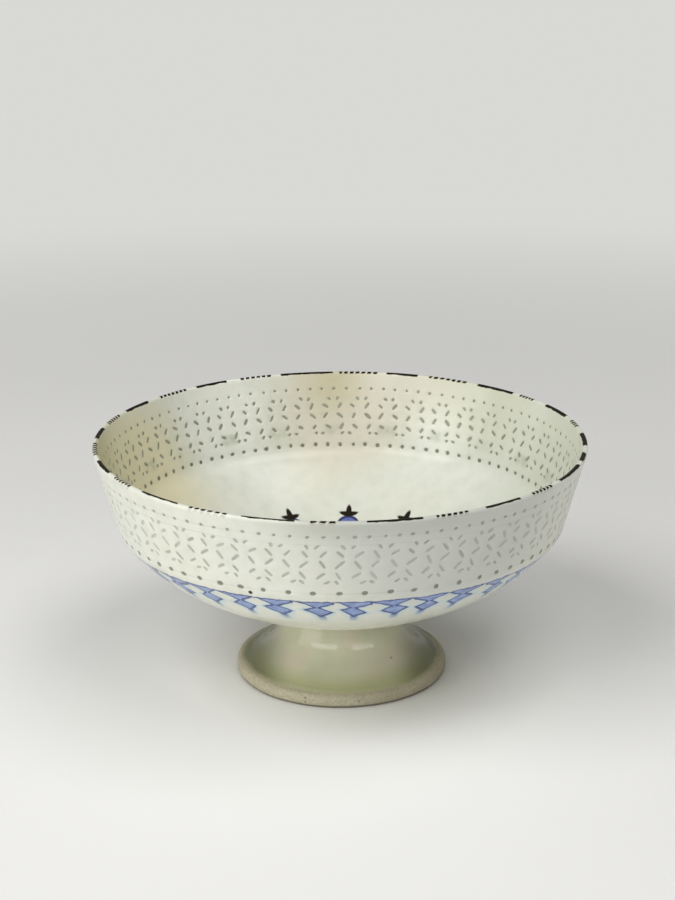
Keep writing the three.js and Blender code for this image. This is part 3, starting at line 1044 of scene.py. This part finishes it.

# %% [markdown]
# The glaze is coloured by how thick it lies: greyer up at the neck and more olive in the pool. At
# the left and the right, as the camera sees them, it is darkened by painted shade. The bare clay
# has been handled, so it is dirtier in slow patches, and a painted shadow darkens it where it
# stands on the table.

# %% Grey-green glaze and bare clay, with painted shade at the sides and a painted shadow at the base
GLAZE_CLOUD_MM, GRAIN_MM, POOL_FROM, POOL_TO = 16, 1.1, 31.0, 37.5
SIDE_SHADE_FROM, SIDE_SHADE_TO, CONTACT_SHADOW_FROM, CONTACT_SHADOW_TO = 19 * MM, 36 * MM, 0.6 * MM, 1.5 * MM
green_glaze, add = new_material("grey_green_glaze_over_bare_fritware", IOR=1.5)
here = add("TexCoord").outputs["Object"]
x_here, _, height_here = add("SeparateXYZ", here).outputs
clouds = add("TexNoise", here, Scale=1 / (GLAZE_CLOUD_MM * MM), Detail=3.0)
grain = add("TexNoise", here, Scale=1 / (GRAIN_MM * MM), Detail=4.0)

green = set_stops(add("ValToRGB", clouds), (0.3, "bfc0a3"), (0.5, "cacaae"), (0.7, "d0c6b0"))
pool = add("MapRange", from_the_axis(), POOL_FROM, POOL_TO, 0.0, 0.8, **SOFT)
# Painted shade: the glaze grows darker towards the left and the right as the camera sees them.
painted_side_shade = add("MapRange", add("Math ABSOLUTE", x_here), SIDE_SHADE_FROM, SIDE_SHADE_TO, 0.0, 1.0, **SOFT)
green = lay_over(green, (pool, "b7b98b"), (product(painted_side_shade, 0.8), "66674b"))
bare = set_stops(add("ValToRGB", grain), (0.3, "aea58e"), (0.5, "bab49a"), (0.7, "c6c1a8"))
bare = lay_over(bare, (add("MapRange", clouds, 0.42, 0.62, 0.0, 0.4), "aca28a"))
ragged = add("MapRange", grain, 0.3, 0.7, -0.3, 0.3)
is_bare = add("MapRange", add("Math ADD", *carried("past_roll"), ragged), -1.0, 1.0, 0.0, 1.0)
# Painted shadow: the lowest millimetre and a half of the pedestal is darkened, where it meets the table.
painted_contact_shadow = add("MapRange", height_here, CONTACT_SHADOW_FROM, CONTACT_SHADOW_TO, 0.85, 0.0)
clay_colour = lay_over(green, (is_bare, bare), (painted_contact_shadow, "5e5749"))
print("pedestal: glaze and bare clay")

# %% [markdown]
# Pits are dark spots in a field of cells: only the cells whose random number is high have one,
# and only on the bare clay. A single iron spot sits on the glazed flare.

# %% Pits, the iron spot, roughness and bump
PIT_MM, PIT_SHARE, GRAIN_HEIGHT, WAVE_MM = 2.4, 0.87, 0.07, 8
SPOT_PLACE, SPOT_SIZE = (0.0204, -0.0217, 0.0122), 0.8
pit_cells = add("TexVoronoi", here, Scale=1 / (PIT_MM * MM))
pit_spot = add("MapRange", pit_cells, 0.14, 0.24, 0.8, 0.0)
pit_chosen = add("Math GREATER_THAN", add("SeparateXYZ", pit_cells.outputs["Color"]), PIT_SHARE)
pit = product(pit_spot, pit_chosen, is_bare)
from_spot = add("VectorMath DISTANCE", here, SPOT_PLACE).outputs["Value"]
spot = add("MapRange", from_spot, SPOT_SIZE * MM * 0.3, SPOT_SIZE * MM, 0.6, 0.0)
clay_colour = lay_over(clay_colour, (pit, "6e6551"), (spot, "57503a"))
roughness = add("MapRange", is_bare, 0.0, 1.0, 0.1, 0.62)
# The painted side shade also lowers the glaze's shine at the left and the right.
shine = add("MapRange", painted_side_shade, 0.0, 1.0, 0.22, 0.07)
grain_and_pits = add("Math SUBTRACT", product(grain, is_bare), pit)
grain_bump = add("Bump", Height=grain_and_pits, Distance=GRAIN_HEIGHT * MM, Strength=1.0)
waves = add("TexNoise", here, Scale=1 / (WAVE_MM * MM), Detail=1.0)
bump = add("Bump", Height=waves, Distance=WAVE_HEIGHT * MM, Strength=1.0, Normal=grain_bump)
give(foot, green_glaze, Base_Color=clay_colour, Roughness=roughness, Specular_IOR_Level=shine, Normal=bump)

# %% [markdown]
# ## The luting slip
# The two pieces were joined leather-hard with slip, clay thinned to a cream. Its ring, squeezed
# out a little all round, fired to a dull buff. The construction model's own ring has the right
# shape, so it stays and only gets a material.

# %% Fired slip
SLIP_GRAIN_MM, SLIP_GRAIN_HEIGHT = 1.5, 0.08
fired_slip, add = new_material("fired_fritware_slip", Roughness=0.75, IOR=1.5)
here = add("TexCoord").outputs["Object"]
slip_grain = add("TexNoise", here, Scale=1 / (SLIP_GRAIN_MM * MM), Detail=3.0)
slip_colour = set_stops(add("ValToRGB", slip_grain), (0.3, "b7b09a"), (0.7, "cfc8b4"))
slip_bump = add("Bump", Height=slip_grain, Distance=SLIP_GRAIN_HEIGHT * MM, Strength=1.0)
give(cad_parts["luting_slip"], fired_slip, Base_Color=slip_colour, Normal=slip_bump)

# %% [markdown]
# ## Stage and light
# The pot stands on a plain pale table. Near the pot the table is real, and keeps its shadow.
# Further off it fades into an even pale field that the camera and reflections see, but that
# gives no light, so the background is the same from every side. The world is the same field.

# %% The table, and what stands for the room
TABLE_HALF, FADE_FROM, FADE_TO, FIELD = 6.0, 0.3, 1.1, "d9d9d6"


def seen_rays():
    """1 for rays that show the field: the camera's, mirror ones and ones through glass; 0 for light."""
    rays = add("LightPath").outputs
    seen = add("Math MAXIMUM", rays["Is Camera Ray"], rays["Is Glossy Ray"])
    return add("Math MAXIMUM", seen, rays["Is Transmission Ray"])


table_mesh = bpy.data.meshes.new("table")
table_corners = [(x * TABLE_HALF, y * TABLE_HALF, 0.0) for x, y in ((-1, -1), (1, -1), (1, 1), (-1, 1))]
table_mesh.from_pydata(table_corners, [], [(0, 1, 2, 3)])
table = bpy.data.objects.new("table", table_mesh)
bpy.context.scene.collection.objects.link(table)
table_paint, add = new_material("pale_table_paint", Roughness=0.7, Base_Color=colour("f5f4f1"))
from_pot = add("VectorMath LENGTH", add("TexCoord").outputs["Object"]).outputs["Value"]
fade = product(add("MapRange", from_pot, FADE_FROM, FADE_TO, 0.0, 1.0, **SOFT), seen_rays())
table_nodes = table_paint.node_tree.nodes
surface = add("MixShader", fade, table_nodes["Principled BSDF"], add("Emission", colour(FIELD), 1.0))
table_paint.node_tree.links.new(surface.outputs[0], table_nodes["Material Output"].inputs["Surface"])
table.data.materials.append(table_paint)

world = bpy.data.worlds.new("sky")
bpy.context.scene.world = world
world.use_nodes = True
world.node_tree.nodes.clear()
add = partial(add_node, world.node_tree)
sky_light, field = add("Background", colour("f2f3f5"), 0.075), add("Background", colour(FIELD), 1.0)
add("OutputWorld", add("MixShader", seen_rays(), sky_light, field))
print("table and sky: field", FIELD)

# %% [markdown]
# The photograph's light comes mostly from high on the left and high on the right, with low soft
# light from the left, and a little from the front, that reaches in under the bowl, and a weak
# skylight. Two long low windows leave the two narrow reflections on the pedestal's glaze. The
# lamps are the size of such windows, so their shadows are soft.

# %% The lamps
LAMP_DISTANCE = 1.6


def soft_light(name, azimuth, elevation, size, watts, roll=0):
    """A rectangular lamp aimed at the bowl. Its azimuth in degrees is from the camera's side to the right."""
    data = bpy.data.lights.new(name, "AREA")
    data.shape, data.size, data.size_y, data.energy = "RECTANGLE", *size, watts
    lamp = bpy.data.objects.new(name, data)
    around, up = math.radians(azimuth), math.radians(elevation)
    away = np.array([math.sin(around) * math.cos(up), -math.cos(around) * math.cos(up), math.sin(up)])
    aimed = Matrix.Rotation(around, 4, "Z") @ Matrix.Rotation(math.pi / 2 - up, 4, "X")
    rolled = aimed @ Matrix.Rotation(math.radians(roll), 4, "Z")
    lamp.matrix_world = Matrix.Translation(away * LAMP_DISTANCE + [0, 0, RIM_HEIGHT / 2 * MM]) @ rolled
    bpy.context.scene.collection.objects.link(lamp)
    print(f"{name}: {watts} W")


soft_light("skylight", -25, 68, (1.5, 1.5), 1.2)
soft_light("high_left", -55, 52, (1.2, 0.8), 11.2)
soft_light("high_right", 60, 69, (1.2, 0.8), 9)
soft_light("low_front", 0, 12, (1.2, 0.5), 2.1)
soft_light("low_left", -60, 12, (1.2, 0.5), 5.8)
soft_light("left_window", -33, 26, (1.3, 0.07), 2.8, roll=8)
soft_light("right_window", 41, 26, (1.0, 0.07), 2.0, roll=-8)

# %% [markdown]
# ## Finish
# The colours are kept as they are written, with the plain Standard view.

# %% Keep the colours as written
bpy.context.scene.view_settings.view_transform = "Standard"
